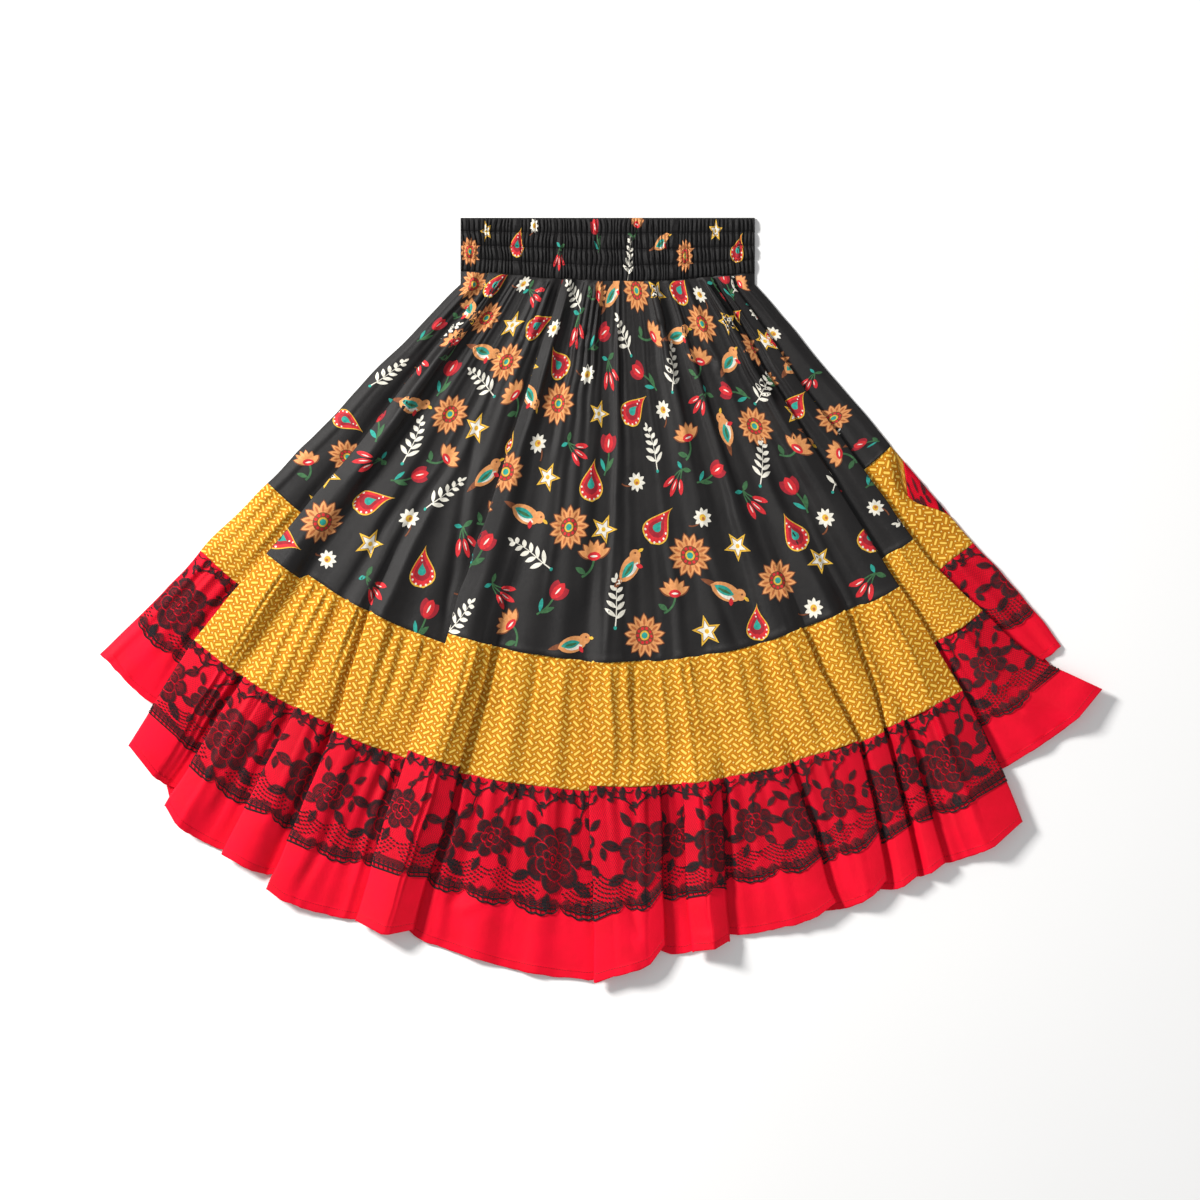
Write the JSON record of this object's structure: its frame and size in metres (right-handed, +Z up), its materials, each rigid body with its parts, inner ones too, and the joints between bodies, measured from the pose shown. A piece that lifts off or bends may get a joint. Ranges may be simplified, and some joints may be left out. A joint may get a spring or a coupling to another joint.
{
  "type": "ruffle skirt",
  "caption": "Tiered ruffle skirt laid flat, front up, with a shirred elastic waistband, gathered tiers and a lace flounce over a plain hem.",
  "frame": {"origin": "centre of the laid-out skirt's bounding box, on the surface it lies on", "axes": "+X across the skirt to the right of the picture, +Y from the hem to the waist, +Z up from the surface"},
  "size_m": [1.1592, 0.8858, 0.0281],
  "materials": {
    "black_print": "plain-woven black cotton with a small colourful print, slight sheen",
    "gold_print": "plain-woven cotton with a small gold basket-weave print",
    "red_cotton": "plain-woven red cotton with a narrow stitched hem",
    "black_lace": "black floral lace on a fine net, with a corded scalloped edge"
  },
  "bodies": {
    "root": {"waistband_front": "black_print", "waistband_back": "black_print", "upper_tier_front": "black_print", "upper_tier_back": "black_print", "middle_tier_front": "gold_print", "middle_tier_back": "gold_print", "lower_tier_front": "red_cotton", "lower_tier_back": "red_cotton", "lace_front": "black_lace", "lace_back": "black_lace"}
  },
  "joints": []
}
